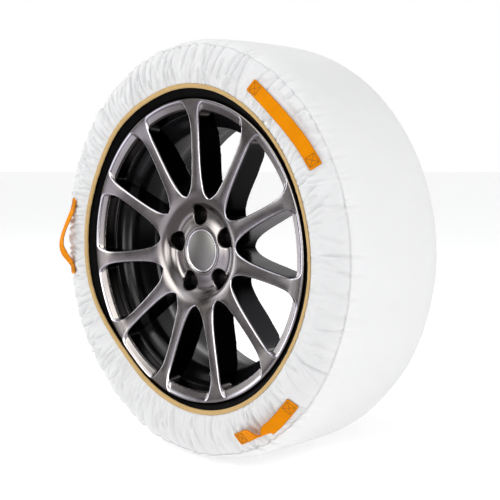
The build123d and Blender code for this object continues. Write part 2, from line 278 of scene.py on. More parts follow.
# barrel: gloss black
m_black, nt, b = new_mat("gloss_black_paint")
c = coords(nt)
base = mix_color(nt, remap(nt, noise(nt, 18.0, 4.0, 0.6, c), 0.4, 0.7, 0, 1),
                 (0.004, 0.004, 0.0045), (0.009, 0.009, 0.010))
nt.links.new(base, b.inputs["Base Color"])
b.inputs["Metallic"].default_value = 0.0
nt.links.new(remap(nt, noise(nt, 60.0, 3.0, 0.6, c), 0.3, 0.7, 0.16, 0.24), b.inputs["Roughness"])
b.inputs["Specular IOR Level"].default_value = 0.16
bump(nt, b, noise(nt, 500.0, 2.0, 0.5, c), 0.015, 0.001)

# centre cap
m_cap, nt, b = new_mat("satin_grey_cap")
c = coords(nt)
base = mix_color(nt, attr(nt, "rim"), (0.105, 0.102, 0.096), (0.62, 0.62, 0.64))
base = mix_color(nt, remap(nt, noise(nt, 1200.0, 2.0, 0.6, c), 0.4, 0.7, 0, 0.2), base,
                 (0.22, 0.215, 0.21))
nt.links.new(base, b.inputs["Base Color"])
b.inputs["Metallic"].default_value = 0.85
nt.links.new(remap(nt, attr(nt, "rim"), 0, 1, 0.33, 0.12), b.inputs["Roughness"])
bump(nt, b, noise(nt, 1500.0, 2.0, 0.6, c), 0.03, 0.0005)

# tyre rubber: fine radial ribs on the sidewall and a dusty bloom
m_tyre, nt, b = new_mat("tyre_rubber")
c = coords(nt)
base = mix_color(nt, remap(nt, noise(nt, 30.0, 5.0, 0.65, c), 0.35, 0.7, 0, 1),
                 (0.0010, 0.0010, 0.0011), (0.0028, 0.0028, 0.003))
nt.links.new(base, b.inputs["Base Color"])
nt.links.new(remap(nt, noise(nt, 120.0, 4.0, 0.6, c), 0.3, 0.7, 0.55, 0.75), b.inputs["Roughness"])
b.inputs["Specular IOR Level"].default_value = 0.03
ang, rad, yy = polar_coords(nt)
rings = wave(nt, rad, 400.0)
grain = noise(nt, 900.0, 4.0, 0.6, c)
bump(nt, b, math_node(nt, "ADD", math_node(nt, "MULTIPLY", rings, 0.5), grain), 0.25, 0.0006)


def cloth(name, col_a, col_b, pitch, rough, sheen, strength, weft=True, dirt=None):
    """Plain weave that follows the wheel: warp runs round it, weft runs radially."""
    m, nt, b = new_mat(name)
    c = coords(nt)
    ang, rad, yy = polar_coords(nt)
    # arc length at a fixed mean radius keeps the thread count the same all round
    arc = math_node(nt, "MULTIPLY", ang, 0.300)
    across = math_node(nt, "SUBTRACT", rad, yy)
    f = 1.0 / pitch
    wa, wb = wave(nt, arc, round(2 * math.pi * 0.300 * f) / (2 * math.pi * 0.300)), wave(nt, across, f)
    checker = math_node(nt, "MULTIPLY",
                        math_node(nt, "SUBTRACT", wa, 0.5), math_node(nt, "SUBTRACT", wb, 0.5))
    weave = math_node(nt, "ADD", math_node(nt, "MULTIPLY", checker, 2.0), 0.5)
    fuzz = noise(nt, 1400.0, 3.0, 0.65, c)
    soft = noise(nt, 22.0, 4.0, 0.6, c)
    col = mix_color(nt, remap(nt, soft, 0.3, 0.7, 0, 1), col_a, col_b)
    dark = tuple(x * 0.90 for x in col_a)
    col = mix_color(nt, remap(nt, weave, 0.0, 1.0, 0.35, 0.0), col, dark)
    nt.links.new(col, b.inputs["Base Color"])
    nt.links.new(remap(nt, fuzz, 0.3, 0.7, rough - 0.07, rough + 0.05), b.inputs["Roughness"])
    b.inputs["Specular IOR Level"].default_value = 0.2
    b.inputs["Sheen Weight"].default_value = sheen
    b.inputs["Sheen Roughness"].default_value = 0.5
    bump(nt, b, math_node(nt, "ADD", weave, math_node(nt, "MULTIPLY", fuzz, 0.5)), strength, 0.0006)
    return m, nt, b


m_white, _, _ = cloth("white_polyester", (0.76, 0.762, 0.768), (0.80, 0.80, 0.805), 0.0016, 0.85, 0.25, 0.35)
m_band, _, _ = cloth("white_tread_fabric", (0.80, 0.80, 0.805), (0.82, 0.82, 0.823), 0.0022, 0.85, 0.25, 0.30)
m_thread, _, _ = cloth("white_thread", (0.78, 0.78, 0.785), (0.82, 0.82, 0.823), 0.0012, 0.8, 0.2, 0.5)


def webbing(name, col_a, col_b, edge_shade=0.75):
    """Ribbed webbing: uses the strap's own along/across coordinates."""
    m, nt, b = new_mat(name)
    c = coords(nt)
    al, ac = attr(nt, "along"), attr(nt, "across")          # metres
    ribs = wave(nt, ac, 1 / 0.00125)
    picks = wave(nt, math_node(nt, "ADD", al, math_node(nt, "MULTIPLY", ribs, 0.0006)), 1 / 0.0011)
    weave = math_node(nt, "MULTIPLY", ribs, math_node(nt, "ADD", math_node(nt, "MULTIPLY", picks, 0.6), 0.4))
    fuzz = noise(nt, 1600.0, 3.0, 0.65, c)
    col = mix_color(nt, remap(nt, noise(nt, 45.0, 4.0, 0.6, c), 0.3, 0.7, 0, 1), col_a, col_b)
    col = mix_color(nt, remap(nt, weave, 0.0, 0.5, 0.45, 0.0), col, tuple(x * 0.62 for x in col_a))
    # painted shade: both long edges of the strap or tape are darkened, standing in for the shade along them
    edge = remap(nt, math_node(nt, "ABSOLUTE", ac), 0.0088, 0.0099, 0.0, 0.9)
    col = mix_color(nt, edge, col, tuple(x * edge_shade * 0.7 for x in col_a))
    nt.links.new(col, b.inputs["Base Color"])
    nt.links.new(remap(nt, fuzz, 0.3, 0.7, 0.62, 0.78), b.inputs["Roughness"])
    b.inputs["Specular IOR Level"].default_value = 0.08
    b.inputs["Sheen Weight"].default_value = 0.0
    bump(nt, b, math_node(nt, "ADD", weave, math_node(nt, "MULTIPLY", fuzz, 0.4)), 0.5, 0.0007)
    return m


m_orange = webbing("orange_webbing", (0.84, 0.265, 0.0), (0.92, 0.305, 0.0))
m_tan = webbing("tan_elastic_tape", (0.64, 0.43, 0.185), (0.70, 0.485, 0.225), 0.9)

m_othread, nt, b = new_mat("orange_thread")
c = coords(nt)
col = mix_color(nt, remap(nt, noise(nt, 900.0, 2.0, 0.6, c), 0.3, 0.7, 0, 1), (0.22, 0.060, 0.0006),
                (0.31, 0.092, 0.001))
nt.links.new(col, b.inputs["Base Color"])
b.inputs["Roughness"].default_value = 0.6
bump(nt, b, noise(nt, 3000.0, 2.0, 0.6, c), 0.5, 0.0004)


def plain(name, a_col, b_col, metal, r0, r1, scale=300.0, strength=0.1):
    m, nt, b = new_mat(name)
    c = coords(nt)
    n1 = noise(nt, scale, 4.0, 0.6, c)
    nt.links.new(mix_color(nt, remap(nt, n1, 0.3, 0.7, 0, 1), a_col, b_col), b.inputs["Base Color"])
    b.inputs["Metallic"].default_value = metal
    nt.links.new(remap(nt, noise(nt, scale * 0.4, 3.0, 0.6, c), 0.3, 0.7, r0, r1), b.inputs["Roughness"])
    bump(nt, b, n1, strength, 0.0005)
    return m


m_brass = plain("brass", (0.62, 0.44, 0.18), (0.74, 0.56, 0.27), 1.0, 0.22, 0.36, 800)
m_steel = plain("wire_steel", (0.42, 0.42, 0.43), (0.55, 0.55, 0.56), 1.0, 0.2, 0.35, 900)
m_rubber = plain("valve_rubber", (0.012, 0.012, 0.013), (0.028, 0.028, 0.028), 0.0, 0.5, 0.7, 700, 0.2)
m_plastic = plain("black_plastic", (0.014, 0.014, 0.015), (0.024, 0.024, 0.025), 0.0, 0.35, 0.5, 600, 0.15)
m_inner = plain("inner_rubber", (0.02, 0.02, 0.02), (0.035, 0.035, 0.034), 0.0, 0.6, 0.8, 200, 0.2)
m_elastic = plain("elastic_core", (0.62, 0.60, 0.54), (0.74, 0.72, 0.66), 0.0, 0.6, 0.75, 1500, 0.3)

for name, m in {"cap_spring_ring": m_steel, "valve_grommet": m_rubber, "valve_tube": m_brass,
                "valve_core": m_brass, "valve_spring": m_steel, "valve_pin": m_brass,
                "valve_cap": m_plastic, "tyre_tread": m_tyre, "tyre_belts": m_inner,
                "tyre_casing": m_tyre, "tyre_inner_liner": m_inner, "bead_core_front": m_steel,
                "bead_core_back": m_steel, "front_elastic_cord": m_elastic,
                "back_elastic_cord": m_elastic}.items():
    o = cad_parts[name]
    o.data.materials.clear()
    o.data.materials.append(m)

# =====================================================================
# wheel casting: hub, spokes and front ring in one sculpted mesh
# =====================================================================
SPOKES, SPOKE_FIRST = 11, 1.6
PITCH = 360.0 / SPOKES
FRONT = smooth_curve([(0, -33.0), (33.4, -33.0)], 2)
front_pts = [(30.0, -36.6), (34.2, -36.9), (36.2, -37.5), (39.5, -37.8), (45.0, -36.6),
             (52.0, -34.6), (58.0, -33.8), (63.0, -34.6), (68.0, -37.6), (72.5, -41.8),
             (77.0, -45.4), (83.0, -48.2), (90.0, -49.9), (98.0, -50.9), (110.0, -51.9),
             (130.0, -53.2), (150.0, -54.4), (170.0, -55.7), (190.0, -57.5), (205.0, -59.7),
             (216.0, -62.0), (225.0, -63.8), (230.5, -64.5), (234.0, -64.3), (236.5, -63.2),
             (240.0, -60.0)]
FC = smooth_curve(front_pts, 0.6)
RT = np.arange(0, 245, 0.5)
YF = np.interp(RT, FC[:, 0], FC[:, 1])
back_pts = [(0, 0.0), (76.0, 0.0), (80.0, -3.0), (86.0, -5.0), (150.0, -7.2), (184.0, -12.4),
            (196.8, -19.2), (209.9, -27.8), (213.2, -37.0), (216.9, -37.2), (218.0, -51.0),
            (221.5, -54.6), (229.0, -54.9), (234.6, -57.8), (245.0, -58.2)]
YB = np.interp(RT, [p[0] for p in back_pts], [p[1] for p in back_pts])
gF, gB = np.gradient(YF, RT), np.gradient(YB, RT)
CF, CB = 1 / np.sqrt(1 + gF ** 2), 1 / np.sqrt(1 + gB ** 2)
side_pts = smooth_curve([(60.0, 60.0), (78.0, 27.0), (84.0, 21.5), (92.0, 17.2), (102.0, 14.0),
                         (118.0, 11.6), (140.0, 10.2), (165.0, 9.6), (185.0, 9.8), (200.0, 10.6),
                         (212.0, 12.6), (222.0, 16.6), (240.0, 28.0)], 1.0)
# inner edge of the front ring, radius against depth
ring_in = smooth_curve([(-66.0, 231.5), (-63.6, 229.2), (-62.0, 227.2), (-60.6, 222.8),
                        (-59.2, 218.6), (-57.4, 217.0), (-54.0, 216.3), (-46.0, 215.2),
                        (-38.5, 214.2), (-37.0, 214.6)], 0.4)
LUG_A = np.radians(-6.0 + 72.0 * np.arange(5))
LUG_X, LUG_Z = 56.0 * np.sin(LUG_A), 56.0 * np.cos(LUG_A)


def wheel_sdf(x, y, z, full=False):
    r = np.hypot(x, z)
    a = np.degrees(np.arctan2(x, z))
    off = (a - SPOKE_FIRST + PITCH / 2) % PITCH - PITCH / 2
    off = np.radians(off)
    v = np.abs(r * np.sin(off))
    u = r * np.cos(off)
    yf = np.interp(r, RT, YF)
    cf = np.interp(r, RT, CF)
    crown = 0.0075 * np.minimum(v, 14.0) ** 2 * sstep(88, 108, r) * (1 - sstep(196, 216, r))
    yf = yf + crown
    front = (yf - y) * cf
    back = (y - np.interp(r, RT, YB)) * np.interp(r, RT, CB)
    E = smax(front, back, 1.5)
    E = smax(E, r - 235.5, 3.0)
    bore = np.where(y > -18.0, 33.3, np.where(y > -33.0, 29.5, 34.0))
    E = smax(E, bore - r, 0.35)
    h = np.interp(u, side_pts[:, 0], side_pts[:, 1])
    ho = np.interp(y, ring_in[:, 0], ring_in[:, 1], right=400.0)
    dho = np.interp(y, [-66, -62.2, -61.4, -59.6, -58.6, -37], [1, 1.2, 2.3, 2.3, 1.3, 1.02])
    outer = (ho - r) / dho
    inner = r - 85.0
    w = smin(v - h, inner, 9.0)
    w = smin(w, outer, 7.0 if not full else 7.0)
    d = smax(E, w, 0.5 + 2.7 * (1 - sstep(3.0, 9.0, y - yf)))
    q = np.full(r.shape, -1e3)
    lr = np.interp(y, [-70, -46.0, -20.0, -9.0, 5], [17.6, 16.4, 13.5, 7.25, 7.25])
    for lx, lz in zip(LUG_X, LUG_Z):
        q = np.maximum(q, lr - np.hypot(x - lx, z - lz))
    d = smax(d, q, 2.6)
    if full:
        return d, r, y - yf, w, q
    return d


def surface_nets(F, org, h):
    S = F < 0
    nx, ny, nz = (s - 1 for s in F.shape)
    tot = np.zeros((nx, ny, nz), np.uint8)
    for i in (0, 1):
        for j in (0, 1):
            for k in (0, 1):
                tot += S[i:nx + i, j:ny + j, k:nz + k]
    act = (tot > 0) & (tot < 8)
    idx = np.full(act.shape, -1, np.int32)
    ia, ja, ka = np.nonzero(act)
    idx[ia, ja, ka] = np.arange(len(ia))
    pos = np.zeros((len(ia), 3))
    cnt = np.zeros(len(ia))
    corner = [(i, j, k) for i in (0, 1) for j in (0, 1) for k in (0, 1)]
    val = {c: F[ia + c[0], ja + c[1], ka + c[2]] for c in corner}
    for c0 in corner:
        for ax in range(3):
            if c0[ax]:
                continue
            c1 = tuple(1 if i == ax else c0[i] for i in range(3))
            fa, fb = val[c0], val[c1]
            m = (fa < 0) != (fb < 0)
            t = fa[m] / (fa[m] - fb[m])
            p = np.tile(np.array(c0, float), (m.sum(), 1))
            p[:, ax] += t
            pos[m] += p
            cnt[m] += 1
    pos = pos / cnt[:, None] + np.stack([ia, ja, ka], -1)
    quads = []
    for ax in range(3):
        o1, o2 = [(1, 2), (2, 0), (0, 1)][ax]
        sl0 = [slice(None)] * 3
        sl1 = [slice(None)] * 3
        sl0[ax], sl1[ax] = slice(0, -1), slice(1, None)
        ch = S[tuple(sl0)] != S[tuple(sl1)]
        ii = np.array(np.nonzero(ch))
        keep = (ii[o1] > 0) & (ii[o2] > 0) & (ii[o1] < F.shape[o1] - 1) & (ii[o2] < F.shape[o2] - 1)
        ii = ii[:, keep]
        solid_first = S[tuple(ii)]
        q = []
        for d1, d2 in ((-1, -1), (0, -1), (0, 0), (-1, 0)):
            jj = ii.copy()
            jj[o1] += d1
            jj[o2] += d2
            q.append(idx[tuple(jj)])
        q = np.stack(q, -1)
        q[~solid_first] = q[~solid_first][:, ::-1]
        quads.append(q)
    return pos * h + np.array(org), np.concatenate(quads)


H = 1.5
gx = np.arange(-238.0, 238.0 + H, H)
gy = np.arange(-67.5, 3.0 + H, H)
X, Z = np.meshgrid(gx, gx, indexing="ij")
F = np.empty((len(gx), len(gy), len(gx)), np.float32)
for j, yv in enumerate(gy):
    F[:, j, :] = wheel_sdf(X, np.full_like(X, yv), Z)
wv, wf = surface_nets(F, (gx[0], gy[0], gx[0]), H)
del F


def sdf_normal(p):
    e = 0.35
    g = np.stack([wheel_sdf(p[:, 0] + e, p[:, 1], p[:, 2]) - wheel_sdf(p[:, 0] - e, p[:, 1], p[:, 2]),
                  wheel_sdf(p[:, 0], p[:, 1] + e, p[:, 2]) - wheel_sdf(p[:, 0], p[:, 1] - e, p[:, 2]),
                  wheel_sdf(p[:, 0], p[:, 1], p[:, 2] + e) - wheel_sdf(p[:, 0], p[:, 1], p[:, 2] - e)],
                 -1) / (2 * e)
    L = np.linalg.norm(g, axis=1, keepdims=True)
    return g / np.maximum(L, 1e-6), np.maximum(L[:, 0], 0.2)


for _ in range(3):
    n_, L_ = sdf_normal(wv)
    d_ = wheel_sdf(wv[:, 0], wv[:, 1], wv[:, 2])
    wv = wv - n_ * np.clip(d_ / L_, -0.8 * H, 0.8 * H)[:, None]
n_, _ = sdf_normal(wv)
_, wr, depth, ww, wq = wheel_sdf(wv[:, 0], wv[:, 1], wv[:, 2], full=True)
black = sstep(1.8, 4.2, depth) * (1 - sstep(205, 211, wr))
black = np.maximum(black, sstep(-42, -34, wv[:, 1]) * (wr > 88) * (wr < 230) * sstep(-38.6, -37.4, wv[:, 1]))
# painted shade: darkens the metal walls deep inside the lug pockets
lug_pocket_shade = sstep(-1.5, 1.0, wq) if False else np.clip(1 - np.abs(wq) / 1.2, 0, 1) * sstep(4.0, 9.0, depth) * (wr < 80)
# painted shadow: a thin dark line at the foot of the lip's step, where the step's shade falls
lip_step_shadow = np.exp(-((wv[:, 1] + 58.4) / 0.85) ** 2) * (wr > 213) * (wr < 223)
wall = 0.62 * sstep(-57.6, -56.6, wv[:, 1]) * (1 - sstep(-39.4, -38.6, wv[:, 1])) * (wr > 212)
black = np.maximum(black * (wr > 82), np.maximum(lug_pocket_shade * 0.35, np.maximum(lip_step_shadow, wall)))
# painted highlight: lighter colour along the window edges at the front face, then along the ring's inner edge
edge = np.exp(-(np.minimum(np.abs(ww + 1.0), 9) / 1.2) ** 2) * np.exp(-(np.maximum(depth, 0) / 1.6) ** 2) * (wr > 60)
edge = np.maximum(edge, np.exp(-((wr - 214.4) / 1.2) ** 2) * np.exp(-((wv[:, 1] + 38.2) / 1.4) ** 2))
wheel = make("wheel_casting", wv, wf, m_wheel, True, n_, {"black": black, "edge": edge * 0.8})
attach(wheel, "wheel")
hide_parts("wheel_hub", "wheel_spokes", "wheel_front_ring")

# barrel
out_ = [(216.6, -36.6), (218.9, -31.2), (216.0, -25.6), (201.0, -15.6), (196.0, -7.0), (196.0, 29.0),
        (206.0, 39.0), (211.5, 60.0), (213.0, 104.0), (218.6, 110.0), (217.0, 116.0), (218.1, 131.5),
        (221.5, 135.0), (229.0, 135.3), (234.4, 138.0), (235.5, 141.0), (233.5, 144.5), (227.0, 143.6),
        (217.5, 139.0), (212.6, 134.5)]
in_ = [(211.5, 113.0), (207.5, 103.0), (206.0, 60.0), (200.5, 41.0), (190.8, 31.5), (190.5, -8.0),
       (194.7, -17.4), (210.6, -27.8), (213.5, -36.4)]
barrel_prof = np.concatenate([smooth_curve(out_, 4.0), smooth_curve(in_, 3.0)])
barrel = lathe("wheel_barrel_shell", barrel_prof, 288, m_black)
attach(barrel, "wheel")
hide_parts("wheel_barrel")

# centre cap: domed face, bright rolled rim, skirt
cap_pts = np.concatenate([
    smooth_curve([(0.2, -40.2), (7.0, -40.06), (14.0, -39.62), (21.0, -38.9), (27.0, -38.0), (30.4, -37.3),
                  (31.5, -37.1), (32.1, -37.5), (32.8, -37.8), (33.3, -37.5), (33.6, -36.6),
                  (33.6, -33.4)], 0.7),
    np.array([(29.3, -33.3), (29.2, -20.4), (26.8, -20.2), (26.6, -34.4), (0.2, -35.6)])])
n = 144
a = np.linspace(0, 2 * np.pi, n, endpoint=False)
cv = np.stack([cap_pts[None, :, 0] * np.sin(a)[:, None], np.broadcast_to(cap_pts[:, 1], (n, len(cap_pts))),
               cap_pts[None, :, 0] * np.cos(a)[:, None]], -1).reshape(-1, 3)
rimmask = np.tile(sstep(31.2, 31.9, cap_pts[:, 0]) * (cap_pts[:, 1] < -35.8), n)
cap = make("centre_cap_disc", cv, grid_faces(n, len(cap_pts), True, True), m_cap, attrs={"rim": rimmask})
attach(cap, "cap")
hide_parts("centre_cap")

# tyre sidewalls: visible ring inside the sock's binding, both sides
side = smooth_curve([(218.6, 78.0), (218.6, 91.4), (222.0, 94.9), (229.2, 95.1), (235.8, 97.6),
                     (236.4, 100.2), (238.6, 102.2), (241.5, 103.8), (246.0, 105.6), (250.0, 107.0),
                     (256.0, 108.2), (263.0, 109.4), (275.0, 109.8), (286.2, 107.0), (298.6, 100.8),
                     (307.0, 96.0), (309.6, 92.0)], 1.5)
inner = smooth_curve([(303.0, 82.0), (285.5, 98.0), (272.0, 100.8), (256.0, 97.8), (241.0, 90.0),
                      (228.0, 80.8), (221.0, 75.0)], 6.0)
sec = np.concatenate([side, inner])
for sgn, nm in ((-1, "front"), (1, "back")):
    pr = np.stack([sec[:, 0], OFFSET + sgn * sec[:, 1]], -1)
    o = lathe(f"tyre_sidewall_{nm}", pr, 288, m_tyre, True, flip=(sgn > 0))
    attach(o, "wheel")
    if sgn < 0:
        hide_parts("tyre_casing")

# =====================================================================
# sock fabric
# =====================================================================
# radius of the front binding round the wheel: pulled in at the lower left
BIND = np.array([(2, 253.0), (16, 253.0), (29, 251.2), (45, 250.0), (60, 250.4), (75, 250.4),
                 (92, 252.2), (98, 252.5), (106, 251.2), (125, 249.7), (143, 250.8), (156, 249.9),
                 (164, 248.6), (171, 246.9), (178.4, 244.5), (185.6, 241.8), (192.7, 239.2),
                 (199.5, 236.9), (205.9, 234.9), (212.0, 233.0), (217.8, 231.8), (223.3, 232.7),
                 (228.6, 234.9), (233.5, 238.0), (238.2, 241.4), (242.7, 245.2), (247.0, 248.3),
                 (252.0, 250.9), (257.0, 252.3), (265, 252.3), (279, 251.8), (290, 249.4),
                 (300, 248.8), (308, 249.9), (314, 251.9), (320, 252.8), (333, 251.4), (341, 250.6),
                 (348, 251.4), (355, 252.7)])


def bind_r(a, which):
    if which == "front":
        x = np.concatenate([BIND[:, 0] - 360, BIND[:, 0], BIND[:, 0] + 360])
        yv = np.tile(BIND[:, 1], 3)
        out = np.zeros_like(a)
        for s in (-3, -1.5, 0, 1.5, 3):        # smoothed a little
            out += np.interp((a + s) % 360, x, yv) / 5
        return out
    ar = np.radians(a)
    return 250.6 + 1.0 * np.sin(3 * ar + 0.7) + 0.7 * np.sin(5 * ar + 2.1) - 3.5 * np.exp(-((a - 120) / 26) ** 2)


PANEL = smooth_curve([(249.2, 110.0), (252.0, 111.2), (256.0, 112.9), (262.0, 115.0), (268.5, 116.5),
                      (275.0, 117.0), (281.5, 116.3), (288.0, 114.3), (295.0, 111.2), (302.0, 107.2),
                      (308.0, 103.0), (312.6, 98.6)], 1.0)
BANDP = smooth_curve([(312.6, 98.6), (316.4, 93.4), (320.0, 86.0), (322.4, 76.0), (323.4, 66.0),
                      (324.1, 45.0), (324.5, 20.0), (324.6, 0.0)], 1.0)


def by_length(c, t):
    s = np.concatenate([[0], np.cumsum(np.linalg.norm(np.diff(c, axis=0), axis=1))])
    s /= s[-1]
    p = np.stack([np.interp(t, s, c[:, k]) for k in (0, 1)], -1)
    e = 1e-3
    q = np.stack([np.interp(np.clip(t + e, 0, 1), s, c[:, k]) - np.interp(np.clip(t - e, 0, 1), s, c[:, k])
                  for k in (0, 1)], -1)
    q /= np.linalg.norm(q, axis=1, keepdims=True)
    return p, np.stack([-q[:, 1], q[:, 0]], -1)      # normal outwards for rising r: (-dw, dr)


def fold_field(nu, t, seed, amp=1.0, dens=None, quiet=()):
    """Gathers of the side panel: height over (angle, t), t 0 at the binding and 1 at the seam, in mm."""
    g = np.random.default_rng(seed)
    nv = len(t)
    D = np.zeros((nu, nv))
    ang = np.arange(nu) * 360.0 / nu
    dens = dens or (lambda a: 1.0)

    def crease(a0, w, dp, s0, s1, tilt=0.0, curl=0.0, feather=0.2, lift=0.42):
        env = sstep(s0, s0 + feather, t) * (1 - sstep(s1 - feather, s1, t))
        mid = a0 + tilt * (t - 0.5) + curl * (t - 0.5) ** 2
        lo, n = int((a0 - 9) / 360 * nu), int(18 / 360 * nu)
        cols = np.arange(lo, lo + n)
        da = (cols[:, None] * 360.0 / nu - mid[None] + 180) % 360 - 180
        x = da / w
        prof = -np.exp(-x ** 2) + lift * (np.exp(-((x - 1.9) / 1.15) ** 2) + np.exp(-((x + 1.9) / 1.15) ** 2))
        D[cols % nu] += dp * env[None] * prof

    # tucks held by the seam, with the cloth puffed between them
    k, marks = g.uniform(0, 2), []
    while k < 358.5:
        marks.append(k)
        k += g.uniform(2.2, 6.0) / (0.55 + 0.6 * dens(k))
    marks = np.array(marks)
    hts = g.uniform(0.8, 5.2, len(marks))
    f = (ang[:, None] - marks[None]) % 360
    i = f.argmin(1)
    gap = (marks[(i + 1) % len(marks)] - marks[i]) % 360
    fr = f[np.arange(nu), i] / gap
    puff = hts[i] * np.minimum(gap / 3.2, 1.4) * np.sin(np.pi * fr) ** 0.8 * np.array([0.45 + 0.6 * dens(a) for a in ang])
    D += puff[:, None] * sstep(0.42, 0.9, t)[None]
    for a0 in marks:
        q = 0.5 + 0.6 * dens(a0)
        crease(a0, g.uniform(0.34, 0.70), g.uniform(1.3, 4.2) * q, g.uniform(0.05, 0.66), 1.6,
               g.normal(0, 2.4), g.normal(0, 1.5), 0.3)
    # gathers held by the elastic
    k = g.uniform(0, 2)
    while k < 359:
        q = 0.45 + 0.65 * dens(k)
        crease(k, g.uniform(0.28, 0.52), g.uniform(0.6, 2.3) * q, -0.6, g.uniform(0.25, 0.85),
               g.normal(0, 1.6), g.normal(0, 2), 0.24)
        k += g.uniform(1.1, 3.0) / (0.6 + 0.5 * dens(k))
    # creases and folds that cross the panel
    for _ in range(330):
        a0 = g.uniform(0, 360)
        if g.random() > 0.25 + 0.75 * dens(a0):
            continue
        s0 = g.uniform(-0.1, 0.45)
        crease(a0, g.uniform(0.38, 0.95), g.uniform(0.9, 3.4) * (0.5 + 0.6 * dens(a0)), s0,
               min(1.1, s0 + g.uniform(0.35, 0.9)), g.normal(0, 3.2), g.normal(0, 3), 0.22)
    # broad soft lumps
    for _ in range(110):
        a0, w = g.uniform(0, 360), g.uniform(1.2, 4.0)
        s0, sw, h = g.uniform(0.15, 0.95), g.uniform(0.12, 0.34), g.uniform(-1.3, 2.0)
        lo, n = int((a0 - 13) / 360 * nu), int(26 / 360 * nu)
        cols = np.arange(lo, lo + n)
        da = (cols[:, None] * 360.0 / nu - a0 + 180) % 360 - 180
        D[cols % nu] += h * np.exp(-(da / w) ** 2) * np.exp(-((t - s0) / sw) ** 2)[None]
    D *= amp
    D = np.where(D > 0, 6.0 * np.tanh(D / 6.0), 4.2 * np.tanh(D / 4.2))
    D *= (0.22 + 0.78 * sstep(0.03, 0.24, t))[None]
    D = np.maximum(D, (-4.2 + 4.0 * sstep(0.60, 0.93, t))[None])
    # flat under the stitched straps
    for a0, a1, r0, r1, wid in quiet:
        q = (ang - a0) / (a1 - a0)
        along = sstep(-0.06, 0.0, q) * (1 - sstep(1.0, 1.06, q))
        rc = r0 + (r1 - r0) * np.clip(q, 0, 1)
        rad = 246.5 + (312.6 - 246.5) * t
        ac = 1 - sstep(wid, wid + 7.0, np.abs(rad[None] - rc[:, None]))
        m = along[:, None] * ac
        D = D * (1 - m) + np.minimum(D, 0.35) * m
    return D


def end_normal(curve, t):
    return by_length(curve, np.array([t]))[1][0]


def ring_sheet(name, curve, side, which, nu, nv, D, mat, flip, shift=True, thick=1.1, joined=()):
    t = np.linspace(0, 1, nv)
    p, nrm = by_length(curve, t)
    for at, n_at, reach in joined:            # both cloths leave the seam in the same direction
        m = (1 - sstep(0.0, reach, np.abs(t - at)))[:, None]
        nrm = nrm * (1 - m) + np.asarray(n_at)[None] * m
    nrm /= np.linalg.norm(nrm, axis=1, keepdims=True)
    ang = np.arange(nu) * 360.0 / nu
    r = np.broadcast_to(p[:, 0], (nu, nv)).copy()
    w = np.broadcast_to(p[:, 1], (nu, nv)).copy()
    if shift:
        dr = (bind_r(ang, which) - 250.9)[:, None] * (1 - sstep(0.0, 0.62, t))[None] ** 1.2
        r += dr
    r = r + D * nrm[None, :, 0]
    w = w + D * nrm[None, :, 1]
    A = np.radians(ang)[:, None]
    v = np.stack([r * np.sin(A), OFFSET + side * w, r * np.cos(A)], -1).reshape(-1, 3)
    o = make(name, v, grid_faces(nu, nv, True, False, flip), mat)
    m = o.modifiers.new("cloth", "SOLIDIFY")
    m.thickness = thick / 1000
    m.offset = -1.0
    return o, r, w


NU = 1680
NV = 58


def dens_front(a0):
    """Where the gathers crowd: most on the left and top, fewer and softer on the right."""
    d = 0.62 + 0.38 * math.cos(math.radians(a0 - 300))
    for c0, s0 in ((47, 17), (271, 14), (145, 14)):
        if abs((a0 - c0 + 180) % 360 - 180) < s0:
            d = max(d, 0.8)
    return min(d, 1.0)


tv = np.linspace(0, 1, NV)
STRAPS_ON = [(30.0, 63.8, 284.5, 292.5, 8.5), (280.6, 286.4, 286.0, 286.0, 8.5), (257.8, 263.4, 288.2, 288.2, 8.5),
             (130.8, 136.2, 297.2, 297.6, 8.5), (152.2, 158.2, 293.0, 293.8, 8.5)]
Df = fold_field(NU, tv, 11, 1.0, dens_front, STRAPS_ON)
BAND_ALL = np.concatenate([np.stack([BANDP[:, 0], -BANDP[:, 1]], -1), np.stack([BANDP[::-1, 0], BANDP[::-1, 1]], -1)[1:]])
_np, _nb = end_normal(PANEL, 1.0), end_normal(BAND_ALL, 1.0)
if _nb[0] < 0:
    _nb = -_nb
SEAM_N = (_np + _nb) / np.linalg.norm(_np + _nb)
BAND_SIGN = 1.0 if end_normal(BAND_ALL, 1.0) @ SEAM_N > 0 else -1.0
SEAM_P = ((1.0, SEAM_N, 0.16),)
SEAM_B = ((0.0, BAND_SIGN * SEAM_N * np.array([1, -1]), 0.07), (1.0, BAND_SIGN * SEAM_N, 0.07))
front_panel, pr_, pw_ = ring_sheet("front_panel_fabric", PANEL, -1, "front", NU, NV, Df, m_white, False,
                                   joined=SEAM_P)
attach(front_panel, "sock")
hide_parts("sock_front_panel")

Db = fold_field(NU, tv, 23, 0.8, lambda a: 0.75) * (1 - 0.75 * sstep(0.55, 1.0, tv))[None]
back_panel, _, _ = ring_sheet("back_panel_fabric", PANEL, 1, "back", NU, NV, Db, m_white, True, joined=SEAM_P)
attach(back_panel, "sock")
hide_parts("sock_back_panel")

